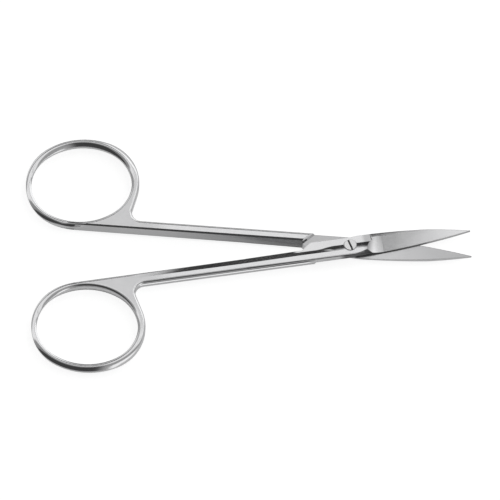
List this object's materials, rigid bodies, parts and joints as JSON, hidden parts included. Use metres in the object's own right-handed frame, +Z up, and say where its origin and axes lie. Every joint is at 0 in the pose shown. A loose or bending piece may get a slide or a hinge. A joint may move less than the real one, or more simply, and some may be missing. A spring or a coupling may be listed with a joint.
{
  "type": "iris scissors",
  "caption": "Fine straight scissors with oval finger rings, slender shanks, a lap joint held by a slotted screw, and short sharp-pointed blades.",
  "frame": {"origin": "on the pivot axis, at the plane the scissors lie on", "axes": "+Z up along the pivot axis, +X midway between the blades towards their tips"},
  "size_m": [0.1131, 0.0656, 0.0035],
  "materials": {
    "steel_lower": "satin polished stainless steel",
    "steel_upper": "satin polished stainless steel",
    "steel_screw": "turned and polished stainless steel"
  },
  "bodies": {
    "lower": {"lower_half": "steel_lower", "pivot_screw": "steel_screw"},
    "upper": {"upper_half": "steel_upper"}
  },
  "joints": [
    {"name": "pivot", "type": "hinge", "parent": "lower", "child": "upper", "pos_m": [0, 0, 0], "axis": [0, 0, 1], "range_deg": [-13, 110]}
  ]
}
